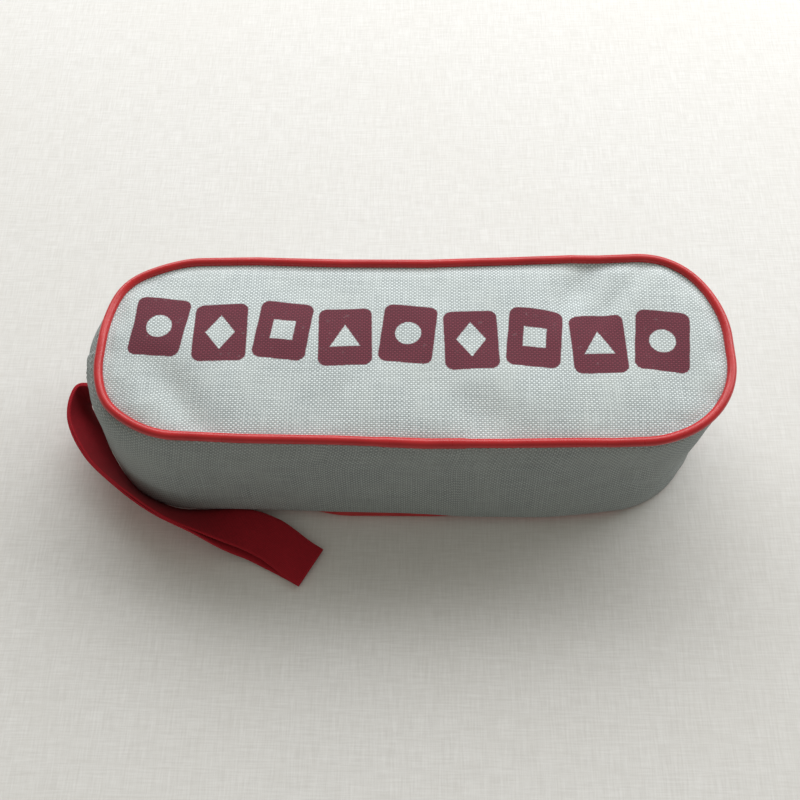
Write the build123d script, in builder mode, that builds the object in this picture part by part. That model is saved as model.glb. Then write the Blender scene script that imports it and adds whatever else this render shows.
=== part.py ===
"""Zipped travel pouch with a tile rummy set packed inside: 106 tiles, four racks and their legs.

X runs along the length, the front faces -Y, Z is up and the origin is the middle of the flat base.
All sizes are in millimetres.
"""

from build123d import *
from math import cos, radians, sin
import os

os.makedirs("parts", exist_ok=True)

# Room left between the packed set and the centre line of the piping
END_ROOM = 7.2
SIDE_ROOM = 4.2
HEADROOM = 7.8
END_FLAT = 10.0

# Cloth and piping
CORD_DIAMETER = 4.0
FLANGE_THICKNESS = 1.4
FLANGE_HEIGHT = 8.0
CLOTH = 1.2
PANEL_RIM = 6.0
SEAM_GAP = 0.1
WALL_BULGE = 0.5
CORD_TO_WALL = 0.15
PANEL_DROP = 1.4

# The rear half of the top folds forward about this line
FOLD_Y = 4.0
FOLD_GAP = 0.3

# Zip
ZIP_DROP = 20.0
ZIP_WINDOW = 8.0
TAPE_GAP = 1.8
TAPE_THICKNESS = 0.8
TAPE_WIDTH = 8.4
TOOTH_PITCH = 3.2
TOOTH_WIDTH = 1.2
TOOTH_LENGTH = 1.5
TOOTH_DEPTH = 2.4
STOP_LENGTH = 4.0
STOP_GAP = 0.3
STOP_REACH = 2.7

# Slider and pull
SLIDER_HOME = 7.5
SLIDER_LENGTH = 11.0
SLIDER_NOSE = 2.4
SLIDER_PLATE = 0.9
NOSE_CUT = 1.9
TAIL_CUT = 1.0
SLIDER_RAIL = 0.9
RAIL_SETBACK = 1.6
RAIL_NOSE_ROOM = 2.8
SLIDER_CLEARANCE = 0.2
RAIL_CLEARANCE = 0.3
BRIDGE_LENGTH = 2.2
BRIDGE_WIDTH = 1.6
BAIL_DIAMETER = 1.4
BAIL_SPAN = 6.6
BAIL_CLEARANCE = 0.35
BAIL_CUT = 0.5
SECTION_SIDES = 8
PULL_CLEARANCE = 0.08
PULL_EYE_WALL = 0.9
PULL_EYE_LENGTH = 4.2
PULL_WIDTH = 5.6
PULL_THICKNESS = 1.5
PULL_LENGTH = 22.0
PULL_CORNER = 1.8
PULL_HOLE_UP = 3.6
PULL_HOLE_LENGTH = 3.4
PULL_HOLE_WIDTH = 1.8

# Tiles
TILE_LENGTH = 27.0
TILE_WIDTH = 19.0
TILE_THICKNESS = 5.0
TILE_CORNER = 1.6
TILE_SIDE_GAP = 0.4
TILE_REST = 0.1
COLUMNS = 7
ROWS = 4
FULL_LAYERS = 3
NUMBERS = 13
COLOURS = ("black", "red", "blue", "orange")
SETS = 2
JOKERS = 2
DEAL_STEP = 37

# Racks and their plug-in legs
RACKS = 4
RACK_END_ROOM = 13.5
LEG_CHANNEL = 18.0
RACK_HEIGHT = 8.0
RACK_PLATE = 1.8
RACK_CORNER = 7.0
LEDGE_BASE = 2.8
LEDGE_TIP = 1.6
RACK_REST = 0.1
LEG_WIDTH = 38.0
LEG_TOP_GAP = 0.5
LEG_THICKNESS = 3.0
TONGUE_WIDTH = 10.0
TONGUE_LENGTH = 2.4
SLOT_CLEARANCE = 0.25
SLOT_SPACING = 170.0
LEG_ARCH_WIDTH = 22.0
LEG_ARCH_HEIGHT = 9.0
LEG_REST = 0.3
LEGS_PER_SIDE = 4
LEG_GAP = 8.0

# Wrist strap: webbing folded double, sewn into the seam at the left end
STRAP_WIDTH = 19.0
STRAP_THICKNESS = 2.8
STRAP_PIN = 1.6
STRAP_ROOT_GAP = 0.4
STRAP_ROOT_RISE = 5.7
STRAP_SEAM_SET = 0.8

# Offsets from the piping centre line, positive outward
cord_radius = CORD_DIAMETER / 2
wall_outer = WALL_BULGE
wall_inner = wall_outer - CLOTH
flange_outer = wall_inner - SEAM_GAP
flange_inner = flange_outer - FLANGE_THICKNESS
rim_outer = flange_inner - SEAM_GAP
rim_inner = rim_outer - CLOTH
tape_outer = wall_inner - SEAM_GAP
tape_inner = tape_outer - TAPE_THICKNESS
tape_middle = (tape_outer + tape_inner) / 2

# The pouch is cut round the packed set
column_pitch = TILE_LENGTH + TILE_SIDE_GAP
row_pitch = TILE_WIDTH + TILE_SIDE_GAP
half_length = (COLUMNS + 2) * column_pitch / 2 + END_ROOM
half_depth = ROWS * row_pitch / 2 + SIDE_ROOM
corner_radius = half_depth - END_FLAT / 2
rack_length = 2 * (half_length - RACK_END_ROOM)
rack_depth = 2 * (half_depth - LEG_CHANNEL)

# Heights
rack_floor_z = CLOTH + RACK_REST
rack_stack = RACKS * (RACK_HEIGHT + RACK_REST)
tile_floor_z = rack_floor_z + rack_stack + TILE_REST
pouch_height = tile_floor_z + (FULL_LAYERS + 1) * (TILE_THICKNESS + TILE_REST) + HEADROOM
zip_height = pouch_height - ZIP_DROP
leg_height = rack_stack - TONGUE_LENGTH - LEG_TOP_GAP
slider_x = half_length - corner_radius - SLIDER_HOME
low_cord_z = cord_radius
high_cord_z = pouch_height - cord_radius
wall_low_z = low_cord_z + cord_radius + CORD_TO_WALL
wall_high_z = high_cord_z - cord_radius - CORD_TO_WALL
panel_top_z = pouch_height - PANEL_DROP
panel_under_z = panel_top_z - CLOTH
window_low_z = zip_height - ZIP_WINDOW / 2
window_high_z = zip_height + ZIP_WINDOW / 2
tape_low_edge_z = zip_height - TAPE_GAP / 2
tape_high_edge_z = zip_height + TAPE_GAP / 2

FRONT = -1
REAR = 1


def outline(offset, mode=Mode.ADD):
    """Draws the pouch's rounded outline, moved out from the piping centre line by the offset."""
    length = 2 * (half_length + offset)
    depth = 2 * (half_depth + offset)
    RectangleRounded(length, depth, corner_radius + offset, mode=mode)


def keep_side(side):
    """Trims the active sketch to the part in front of the fold line or behind it."""
    far = 2 * half_length
    edge = FOLD_Y + side * FOLD_GAP / 2
    with Locations((0, edge + side * far / 2)):
        Rectangle(2 * far, far, mode=Mode.INTERSECT)


def plan_band(outer, inner, side=None):
    """Draws a band of cloth seen from above, between two offsets."""
    outline(outer)
    outline(inner, mode=Mode.SUBTRACT)
    if side is not None:
        keep_side(side)


def piping_path(z, side):
    """The run of the top piping in front of the fold or behind it, from the right end to the left."""
    edge = FOLD_Y + side * FOLD_GAP / 2
    with BuildLine(Plane.XY.offset(z)) as path:
        FilletPolyline(
            (half_length, edge),
            (half_length, side * half_depth),
            (-half_length, side * half_depth),
            (-half_length, edge),
            radius=corner_radius,
        )
    return path.wire()


def rear_stations(offset, pitch, first, last):
    """Evenly spaced places along the rear wall: position, turn about Z and run from the right end."""
    with BuildLine() as path:
        FilletPolyline(
            (half_length + offset, FOLD_Y),
            (half_length + offset, half_depth + offset),
            (-half_length - offset, half_depth + offset),
            (-half_length - offset, FOLD_Y),
            radius=corner_radius + offset,
        )
    wire = path.wire()
    stations = []
    run = first
    while run < wire.length - last:
        point = wire @ (run / wire.length)
        ahead = wire % (run / wire.length)
        stations.append((point, Vector(1, 0, 0).get_signed_angle(ahead, Vector(0, 0, 1)), run))
        run += pitch
    return stations


# Base of the pouch: a flat panel with a turned-up rim
with BuildPart() as bottom_panel:
    with BuildSketch(Plane.XY):
        outline(rim_outer)
    extrude(amount=CLOTH)
    with BuildSketch(Plane.XY.offset(CLOTH)):
        plan_band(rim_outer, rim_inner)
    extrude(amount=PANEL_RIM)

# Piping round the base, one closed cord with its sewing flange
with BuildPart() as bottom_piping:
    with BuildLine(Plane.XY.offset(low_cord_z)) as low_path:
        FilletPolyline(
            (half_length, half_depth),
            (-half_length, half_depth),
            (-half_length, -half_depth),
            (half_length, -half_depth),
            radius=corner_radius,
            close=True,
        )
    low_start = low_path.wire() @ 0
    with BuildSketch(Plane(low_start, x_dir=(0, 0, 1), z_dir=low_path.wire() % 0)):
        RegularPolygon(cord_radius, SECTION_SIDES)
    sweep(path=low_path.wire())
    with BuildSketch(Plane.XY.offset(low_cord_z)):
        plan_band(flange_outer, flange_inner)
    extrude(amount=FLANGE_HEIGHT)

# Plain front wall, running round both ends to the fold line
with BuildPart() as front_gusset:
    with BuildSketch(Plane.XY.offset(wall_low_z)):
        plan_band(wall_outer, wall_inner, FRONT)
    extrude(amount=wall_high_z - wall_low_z)

# Rear wall below the zip
with BuildPart() as rear_lower_band:
    with BuildSketch(Plane.XY.offset(wall_low_z)):
        plan_band(wall_outer, wall_inner, REAR)
    extrude(amount=window_low_z - wall_low_z)

# Rear wall above the zip
with BuildPart() as rear_upper_band:
    with BuildSketch(Plane.XY.offset(window_high_z)):
        plan_band(wall_outer, wall_inner, REAR)
    extrude(amount=wall_high_z - window_high_z)


def top_panel(side):
    """Half of the top: a panel whose rim turns down inside the piping flange."""
    with BuildPart() as panel:
        with BuildSketch(Plane.XY.offset(panel_under_z)):
            outline(rim_outer)
            keep_side(side)
        extrude(amount=CLOTH)
        with BuildSketch(Plane.XY.offset(panel_under_z)):
            plan_band(rim_outer, rim_inner, side)
        extrude(amount=-PANEL_RIM)
    return panel


def top_piping(side):
    """Half of the top piping: a cord with the flange that is sewn into the seam below it."""
    path = piping_path(high_cord_z, side)
    with BuildPart() as piping:
        with BuildSketch(Plane(path @ 0, x_dir=(0, 0, 1), z_dir=path % 0)):
            RegularPolygon(cord_radius, SECTION_SIDES)
        sweep(path=path)
        with BuildSketch(Plane.XY.offset(high_cord_z)):
            plan_band(flange_outer, flange_inner, side)
        extrude(amount=-FLANGE_HEIGHT)
    return piping


top_panel_front = top_panel(FRONT)
top_panel_flap = top_panel(REAR)
top_piping_front = top_piping(FRONT)
top_piping_flap = top_piping(REAR)

# Zip tapes, behind the window between the two rear bands
with BuildPart() as zip_tape_lower:
    with BuildSketch(Plane.XY.offset(tape_low_edge_z)):
        plan_band(tape_outer, tape_inner, REAR)
    extrude(amount=-TAPE_WIDTH)

with BuildPart() as zip_tape_upper:
    with BuildSketch(Plane.XY.offset(tape_high_edge_z)):
        plan_band(tape_outer, tape_inner, REAR)
    extrude(amount=TAPE_WIDTH)


row_start = STOP_LENGTH + TOOTH_PITCH


def tooth_row(first):
    """Places of one row of teeth, leaving room for the stops and for the slider's bridge."""
    bridge_x = slider_x + SLIDER_LENGTH / 2 - SLIDER_NOSE
    room = (BRIDGE_LENGTH + TOOTH_WIDTH) / 2 + SLIDER_CLEARANCE
    places = []
    for point, turn, run in rear_stations(tape_middle, TOOTH_PITCH, first, row_start):
        if point.Y > 0 and abs(point.X - bridge_x) < room:
            continue
        places.append(Location((point.X, point.Y, 0), (0, 0, turn)))
    return places


with BuildPart() as zip_teeth_lower:
    with BuildSketch(Plane.XY.offset(tape_low_edge_z)):
        with Locations(*tooth_row(row_start)):
            Rectangle(TOOTH_WIDTH, TOOTH_DEPTH)
    extrude(amount=TOOTH_LENGTH)

with BuildPart() as zip_teeth_upper:
    with BuildSketch(Plane.XY.offset(tape_high_edge_z)):
        with Locations(*tooth_row(row_start + TOOTH_PITCH / 2)):
            Rectangle(TOOTH_WIDTH, TOOTH_DEPTH)
    extrude(amount=-TOOTH_LENGTH)


def end_stop(end, low, high):
    """A small clip on the outer face of the tape beside the last tooth."""
    out = half_length + tape_outer
    with BuildPart() as stop:
        with BuildSketch(Plane.YZ.offset(end * (out + SEAM_GAP))):
            with Locations((FOLD_Y + STOP_GAP + STOP_LENGTH / 2, (low + high) / 2)):
                Rectangle(STOP_LENGTH, high - low)
        extrude(amount=end * CLOTH)
    return stop


zip_bottom_stop = end_stop(-1, zip_height - STOP_REACH, zip_height + STOP_REACH)
zip_top_stop = end_stop(1, zip_height - STOP_REACH, tape_low_edge_z)

# Slider: two plates joined by a bridge at the leading end, with rails that hold the teeth
channel_outer = tape_middle + TOOTH_DEPTH / 2 + SLIDER_CLEARANCE
channel_inner = tape_middle - TOOTH_DEPTH / 2 - SLIDER_CLEARANCE
plate_outer_y = half_depth + channel_outer
plate_inner_y = half_depth + channel_inner
slider_width = ZIP_WINDOW - 2 * RAIL_CLEARANCE
rail_length = SLIDER_LENGTH - RAIL_SETBACK - RAIL_NOSE_ROOM
rail_x = slider_x + (RAIL_SETBACK - RAIL_NOSE_ROOM) / 2
bail_y = plate_outer_y + SLIDER_PLATE + BAIL_DIAMETER / 2 + PULL_CLEARANCE + PULL_EYE_WALL + BAIL_CLEARANCE

with BuildPart() as zip_slider:
    for base_y, way in ((plate_outer_y, -1), (plate_inner_y, 1)):
        with BuildSketch(Plane.XZ.offset(-base_y)) as plate:
            with Locations((slider_x, zip_height)):
                Rectangle(SLIDER_LENGTH, slider_width)
            chamfer(plate.vertices().group_by(Axis.X)[-1], NOSE_CUT)
            chamfer(plate.vertices().group_by(Axis.X)[0], TAIL_CUT)
        extrude(amount=way * SLIDER_PLATE)
    for base_y, depth in (
        (plate_outer_y, channel_outer - tape_outer - RAIL_CLEARANCE),
        (plate_inner_y, -(tape_inner - channel_inner - RAIL_CLEARANCE)),
    ):
        with BuildSketch(Plane.XZ.offset(-base_y)):
            for side in (-1, 1):
                with Locations((rail_x, zip_height + side * (slider_width - SLIDER_RAIL) / 2)):
                    Rectangle(rail_length, SLIDER_RAIL)
        extrude(amount=depth)
    with BuildSketch(Plane.XZ.offset(-plate_outer_y)):
        with Locations((slider_x + SLIDER_LENGTH / 2 - SLIDER_NOSE, zip_height)):
            Rectangle(BRIDGE_LENGTH, BRIDGE_WIDTH)
    extrude(amount=channel_outer - channel_inner)
    # Bail: two feet on the outer plate and a round bar along the slider
    foot_reach = bail_y + BAIL_DIAMETER / 2 - plate_outer_y
    for end in (0, -1):
        with BuildSketch(Plane.XY.offset(zip_height - BAIL_DIAMETER / 2)) as foot:
            with Locations((slider_x - (2 * end + 1) * BAIL_SPAN / 2, plate_outer_y + foot_reach / 2)):
                Rectangle(BAIL_DIAMETER, foot_reach)
            chamfer(foot.vertices().group_by(Axis.Y)[-1].sort_by(Axis.X)[end], BAIL_CUT)
        extrude(amount=BAIL_DIAMETER)
    with BuildSketch(Plane.YZ.offset(slider_x - BAIL_SPAN / 2)):
        with Locations((bail_y, zip_height)):
            Circle(BAIL_DIAMETER / 2)
    extrude(amount=BAIL_SPAN)

# Pull: an eye round the bail and a tapering tab that hangs from it
eye_bore = BAIL_DIAMETER / 2 + PULL_CLEARANCE
eye_radius = eye_bore + PULL_EYE_WALL

with BuildPart() as pull_tab:
    with BuildSketch(Plane.XZ.offset(-(bail_y - PULL_THICKNESS / 2))) as tab:
        with Locations((slider_x, zip_height - PULL_LENGTH / 2)):
            Trapezoid(PULL_WIDTH, PULL_LENGTH, 88)
        fillet(tab.vertices().group_by(Axis.Y)[0], PULL_CORNER)
        with Locations((slider_x, zip_height - PULL_LENGTH + PULL_HOLE_UP)):
            SlotOverall(PULL_HOLE_LENGTH, PULL_HOLE_WIDTH, rotation=90, mode=Mode.SUBTRACT)
    extrude(amount=-PULL_THICKNESS)
    with BuildSketch(Plane.YZ.offset(slider_x - PULL_EYE_LENGTH / 2)):
        with Locations((bail_y, zip_height)):
            Circle(eye_radius)
    extrude(amount=PULL_EYE_LENGTH)
    with BuildSketch(Plane.YZ.offset(slider_x - PULL_WIDTH)):
        with Locations((bail_y, zip_height)):
            Circle(eye_bore)
    extrude(amount=2 * PULL_WIDTH, mode=Mode.SUBTRACT)

# Wrist strap. Each station gives the middle of the webbing, its heading in plan, its dip and
# its lean from upright: out of the end seam on edge, down round the corner and flat in front
strap_root_x = -(half_length + wall_outer + STRAP_ROOT_GAP)
strap_root_z = STRAP_WIDTH / 2 + STRAP_ROOT_RISE
strap_way = [
    (strap_root_x, FOLD_Y - STRAP_SEAM_SET, strap_root_z, 180, 0, 0),
    (strap_root_x - STRAP_PIN, FOLD_Y - STRAP_SEAM_SET, strap_root_z, 180, 0, 0),
]
# The rest are measured from the pouch's front left corner
for out, back, z, heading, dip, lean in (
    (-16.9, 45.5, 15.4, 223, -5, 0),
    (-15.2, 32.7, 14.0, 289, -7, -29),
    (-6.7, 16.5, 11.9, 306, -5, -25),
    (7.1, 1.7, 11.1, 321, -2, -15),
    (24.4, -8.5, 10.4, 337, -4, -24),
    (40.5, -12.6, 8.4, 348, -9, -46),
    (49.2, -14.0, 6.3, 351, -12, -63),
    (57.0, -15.2, 4.5, 349, -10, -78),
    (64.0, -16.8, 3.3, 343, -7, -87),
    (70.6, -19.4, 2.5, 335, -3, -92),
    (76.9, -22.8, 2.1, 331, -1, -93),
    (83.1, -26.5, 1.95, 329, 0, -93),
    (89.4, -30.2, 1.95, 329, 0, -93),
):
    strap_way.append((out - half_length, back - half_depth, z, heading, dip, lean))


def strap_corners(thickness, x, y, z, heading, dip, lean):
    """The four corners of the webbing's section at one station."""
    level = Vector(cos(radians(heading)), sin(radians(heading)), 0)
    left = Vector(-level.Y, level.X, 0)
    ahead = level * cos(radians(dip)) + Vector(0, 0, sin(radians(dip)))
    upright = ahead.cross(left)
    width = upright * cos(radians(lean)) + left * sin(radians(lean))
    section = Plane((x, y, z), x_dir=width, z_dir=ahead)
    half_width = STRAP_WIDTH / 2
    half_thickness = thickness / 2
    return [
        section.from_local_coords((across * half_width, through * half_thickness))
        for across, through in ((-1, -1), (1, -1), (1, 1), (-1, 1))
    ]


strap_sections = [
    strap_corners(STRAP_THICKNESS / 2 if index == 0 else STRAP_THICKNESS, *station)
    for index, station in enumerate(strap_way)
]
print("strap's lowest point", round(min(corner.Z for section in strap_sections for corner in section), 3))

# The webbing twists, so each side of a bay between two stations is two flat triangles
strap_skin = [Face(Wire.make_polygon(strap_sections[0])), Face(Wire.make_polygon(strap_sections[-1]))]
for near, far in zip(strap_sections, strap_sections[1:]):
    for corner in range(4):
        after = (corner + 1) % 4
        strap_skin.append(Face(Wire.make_polygon((near[corner], near[after], far[after]))))
        strap_skin.append(Face(Wire.make_polygon((near[corner], far[after], far[corner]))))

with BuildPart() as wrist_strap:
    add(Solid(Shell(strap_skin)))

# Rack: a plate with three upright ledges that make two troughs for tiles, and a slot for each leg
ledge_reach = rack_depth / 2
with BuildPart() as rack:
    with BuildSketch(Plane.YZ.offset(-rack_length / 2)):
        with Locations((0, RACK_PLATE / 2)):
            Rectangle(rack_depth, RACK_PLATE)
        for foot, tip in (
            ((-ledge_reach, -ledge_reach + LEDGE_BASE), (-ledge_reach, -ledge_reach + LEDGE_TIP)),
            ((-LEDGE_BASE / 2, LEDGE_BASE / 2), (-LEDGE_TIP / 2, LEDGE_TIP / 2)),
            ((ledge_reach - LEDGE_BASE, ledge_reach), (ledge_reach - LEDGE_TIP, ledge_reach)),
        ):
            with BuildLine():
                Polyline(
                    (foot[0], RACK_PLATE / 2),
                    (foot[1], RACK_PLATE / 2),
                    (tip[1], RACK_HEIGHT),
                    (tip[0], RACK_HEIGHT),
                    close=True,
                )
            make_face()
    extrude(amount=rack_length)
    with BuildSketch(Plane.XY):
        RectangleRounded(rack_length, rack_depth, RACK_CORNER)
    extrude(amount=RACK_HEIGHT, mode=Mode.INTERSECT)
    with BuildSketch(Plane.XY):
        with Locations((0, (ledge_reach - LEDGE_BASE) / 2)):
            with GridLocations(SLOT_SPACING, 1, 2, 1):
                Rectangle(TONGUE_WIDTH + 2 * SLOT_CLEARANCE, LEG_THICKNESS + 2 * SLOT_CLEARANCE)
    extrude(amount=RACK_PLATE, mode=Mode.SUBTRACT)

# Leg: a foot plate with an arch below and a tongue that plugs into the rack
with BuildPart() as rack_leg:
    with BuildSketch(Plane.XZ) as leg_face:
        with Locations((0, leg_height / 2)):
            Trapezoid(LEG_WIDTH, leg_height, 82)
        with Locations((0, leg_height + TONGUE_LENGTH / 2)):
            Rectangle(TONGUE_WIDTH, TONGUE_LENGTH)
        with Locations((0, LEG_ARCH_HEIGHT / 2)):
            Trapezoid(LEG_ARCH_WIDTH, LEG_ARCH_HEIGHT, 65, mode=Mode.SUBTRACT)
    extrude(amount=LEG_THICKNESS / 2, both=True)

leg_row_y = half_depth + rim_inner - LEG_REST - LEG_THICKNESS / 2


def leg_row(side):
    """Legs stored on their feet in the channel between the racks and the wall."""
    legs = [
        Pos((place - (LEGS_PER_SIDE - 1) / 2) * (LEG_WIDTH + LEG_GAP), side * leg_row_y, rack_floor_z) * rack_leg.part
        for place in range(LEGS_PER_SIDE)
    ]
    return Compound(children=legs)


# Tile: a slab with cut corners
with BuildPart() as tile:
    with BuildSketch(Plane.XY) as tile_face:
        Rectangle(TILE_LENGTH, TILE_WIDTH)
        chamfer(tile_face.vertices(), TILE_CORNER)
    extrude(amount=TILE_THICKNESS)


def tile_places():
    """All places for tiles, from the lowest layer up: full layers first, then a part layer in front."""
    total = SETS * NUMBERS * len(COLOURS) + JOKERS
    places = []
    layer = 0
    while len(places) < total:
        z = tile_floor_z + layer * (TILE_THICKNESS + TILE_REST)
        for row in range(ROWS):
            for column in range(COLUMNS):
                x = (column - (COLUMNS - 1) / 2) * column_pitch
                y = (row - (ROWS - 1) / 2) * row_pitch
                places.append((x, y, z))
        if layer < FULL_LAYERS:
            for end in (-1, 1):
                for row in (-0.5, 0.5):
                    places.append((end * (COLUMNS + 1) / 2 * column_pitch, row * row_pitch, z))
        layer += 1
    return places[:total]


all_places = tile_places()


def tile_group(first, count):
    """The tiles of one colour and set, spread through the stack as they were put away."""
    group = []
    for number in range(first, first + count):
        x, y, z = all_places[number * DEAL_STEP % len(all_places)]
        group.append(Pos(x, y, z) * tile.part)
    return Compound(children=group)


def save(shape, name):
    """Labels one piece and writes its file."""
    shape.label = name
    export_step(shape, "parts/" + name + ".step")


save(bottom_panel.part, "bottom_panel")
save(bottom_piping.part, "bottom_piping")
save(front_gusset.part, "front_gusset")
save(rear_lower_band.part, "rear_lower_band")
save(rear_upper_band.part, "rear_upper_band")
save(top_panel_front.part, "top_panel_front")
save(top_panel_flap.part, "top_panel_flap")
save(top_piping_front.part, "top_piping_front")
save(top_piping_flap.part, "top_piping_flap")
save(zip_tape_lower.part, "zip_tape_lower")
save(zip_tape_upper.part, "zip_tape_upper")
save(zip_teeth_lower.part, "zip_teeth_lower")
save(zip_teeth_upper.part, "zip_teeth_upper")
save(zip_bottom_stop.part, "zip_bottom_stop")
save(zip_top_stop.part, "zip_top_stop")
save(zip_slider.part, "zip_slider")
save(pull_tab.part, "pull_tab")
save(wrist_strap.part, "wrist_strap")
for number in range(RACKS):
    placed_rack = Pos(0, 0, rack_floor_z + number * (RACK_HEIGHT + RACK_REST)) * rack.part
    save(placed_rack, "rack_" + str(number + 1))
save(leg_row(FRONT), "rack_legs_front")
save(leg_row(REAR), "rack_legs_rear")
dealt = 0
for set_number in range(SETS):
    for colour in COLOURS:
        save(tile_group(dealt, NUMBERS), "tiles_" + colour + "_set_" + str(set_number + 1))
        dealt += NUMBERS
save(tile_group(dealt, JOKERS), "tiles_joker")
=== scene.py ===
"""Travel tile pouch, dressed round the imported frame. Lengths are in millimetres up to the mesh."""
import math

import bmesh
import bpy
import numpy as np
from mathutils import Matrix, Vector


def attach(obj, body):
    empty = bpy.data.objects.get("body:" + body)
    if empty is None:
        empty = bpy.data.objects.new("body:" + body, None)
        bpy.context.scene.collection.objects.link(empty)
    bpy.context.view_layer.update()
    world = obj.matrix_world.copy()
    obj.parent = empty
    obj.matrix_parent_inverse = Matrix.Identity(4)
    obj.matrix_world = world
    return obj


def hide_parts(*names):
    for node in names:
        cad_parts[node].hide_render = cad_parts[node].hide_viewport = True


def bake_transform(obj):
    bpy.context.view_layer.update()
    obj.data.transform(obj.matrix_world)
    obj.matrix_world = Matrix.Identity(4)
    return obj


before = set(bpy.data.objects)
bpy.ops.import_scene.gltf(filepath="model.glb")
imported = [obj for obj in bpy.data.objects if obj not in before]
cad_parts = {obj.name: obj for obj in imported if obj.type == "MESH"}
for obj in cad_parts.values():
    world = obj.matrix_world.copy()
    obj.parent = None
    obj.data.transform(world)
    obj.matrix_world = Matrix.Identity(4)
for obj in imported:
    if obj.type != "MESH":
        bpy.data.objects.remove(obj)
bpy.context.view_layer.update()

MM = 0.001
UV_UNIT = 10.0

# Pouch outline at the piping centre line, as in the frame
HALF_LENGTH = 130.5
HALF_DEPTH = 43.0
CORNER = 38.0
TOP_Z = 60.0
LOW_Z = 2.0
CORD_R = 2.0
FOLD_Y = 4.0
ZIP_Z = 42.0
WINDOW = 4.0

STRAIGHT_X = HALF_LENGTH - CORNER
STRAIGHT_Y = HALF_DEPTH - CORNER
ARC = math.pi / 2 * CORNER
# Where the outline's straights and corners begin, as a run from the middle of the right end
KNOTS = np.cumsum([0, STRAIGHT_Y, ARC, 2 * STRAIGHT_X, ARC,
                   2 * STRAIGHT_Y, ARC, 2 * STRAIGHT_X, ARC, STRAIGHT_Y])
ROUND = KNOTS[-1]
RUN_LEFT_MIDDLE = KNOTS[4] + STRAIGHT_Y

# The outline's parts in order: a straight by its start and its way, a corner by its centre
OUTLINE = (((HALF_LENGTH, 0), (0, 1)), (STRAIGHT_X, STRAIGHT_Y),
           ((STRAIGHT_X, HALF_DEPTH), (-1, 0)), (-STRAIGHT_X, STRAIGHT_Y),
           ((-HALF_LENGTH, STRAIGHT_Y), (0, -1)), (-STRAIGHT_X, -STRAIGHT_Y),
           ((-STRAIGHT_X, -HALF_DEPTH), (1, 0)), (STRAIGHT_X, -STRAIGHT_Y),
           ((HALF_LENGTH, -STRAIGHT_Y), (0, 1)))


def ring(run):
    """Points on the piping centre line and their outward normals, by the run from the right end."""
    s = np.mod(np.asarray(run, float), ROUND)
    points = np.zeros(s.shape + (2,))
    normals = np.zeros(s.shape + (2,))
    for i, part in enumerate(OUTLINE):
        here = (s >= KNOTS[i]) & (s <= KNOTS[i + 1])
        t = (s[here] - KNOTS[i])[:, None]
        if i % 2:
            a = i // 2 * math.pi / 2 + t / CORNER
            normals[here] = np.hstack([np.cos(a), np.sin(a)])
            points[here] = part + CORNER * normals[here]
        else:
            begin, way = np.array(part)
            normals[here] = way[1], -way[0]
            points[here] = begin + t * way
    return points, normals


def smooth(a, b, v):
    """0 before a and 1 past b, with a soft change between."""
    t = np.clip((v - a) / (b - a), 0, 1)
    return t * t * (3 - 2 * t)


def bump(v, centre, width):
    """1 at the centre, falling off to 0 over about twice the width."""
    return np.exp(-(((v - centre) / width) ** 2))


def unit(v):
    """The same directions with length 1."""
    return v / np.linalg.norm(v, axis=-1, keepdims=True)


def run_along(points):
    """Length along a row of points, from the first one."""
    return np.concatenate([[0], np.cumsum(np.linalg.norm(np.diff(points, axis=0), axis=1))])


# How far the wall stands out from the piping centre line. Each place gives the run along the front, from
# the left end to the right one, and the way out at each of the heights.
WALL_ROWS = [0.6, 3.0, 8.0, 20.0, 32.0, 44.0, 51.0, 56.0, 58.7]
WALL_PLACES = [
    (0.0, (1.4, 2.6, 4.0, 5.0, 5.4, 5.4, 4.4, 1.6, -2.6)),
    (9.0, (1.4, 2.6, 4.0, 4.6, 4.8, 4.4, 3.2, 0.9, -2.6)),
    (29.0, (1.2, 2.5, 4.3, 4.0, 3.2, 2.5, 1.7, 0.0, -2.7)),
    (49.0, (1.1, 2.6, 5.4, 4.5, 3.2, 2.0, 0.8, -0.7, -2.6)),
    (69.0, (1.3, 2.7, 5.8, 4.8, 3.3, 1.8, 0.4, -1.2, -2.2)),
    (98.0, (1.5, 3.4, 6.3, 5.3, 3.7, 2.0, 0.4, -1.2, -2.1)),
    (141.0, (2.2, 4.4, 7.0, 6.0, 4.3, 2.3, 0.4, -1.2, -2.1)),
    (170.0, (2.8, 5.2, 7.6, 6.5, 4.7, 2.5, 0.5, -1.2, -2.1)),
    (191.0, (3.8, 6.3, 8.6, 7.1, 5.0, 2.6, 0.6, -1.2, -2.1)),
    (217.0, (4.2, 6.6, 8.8, 7.0, 4.8, 2.4, 0.5, -1.2, -2.1)),
    (236.0, (3.9, 5.7, 7.3, 5.7, 3.8, 1.9, 0.3, -1.2, -2.1)),
    (254.0, (2.4, 3.5, 4.5, 3.3, 1.9, 0.7, 0.0, -0.6, -1.6)),
    (274.0, (-0.3, 0.1, 0.6, 0.4, 0.2, 0.4, 0.7, 0.9, 0.6)),
    (294.0, (-2.2, -1.9, -1.7, -1.6, -0.5, 0.6, 1.5, 2.2, 2.4)),
    (314.0, (-2.4, -1.9, -1.2, -0.4, 0.8, 1.8, 2.5, 3.1, 3.4)),
    (323.2, (-2.0, -1.2, -0.4, 0.2, 1.0, 1.6, 2.4, 3.2, 3.6)),
]
# The same for the rear wall, before it puffs out near the left end
REAR_LOW = (0.4, 0.8, 1.0, 1.1, 0.9, 0.5, 0.5, 0.5, 0.5)
FRONT_START = RUN_LEFT_MIDDLE - FOLD_Y
FRONT_RUN = ROUND + 2 * FOLD_Y - RUN_LEFT_MIDDLE
# The top stands a little to the right of the base and behind it
TOP_SHIFT = np.array([3.3, 2.6])


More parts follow.
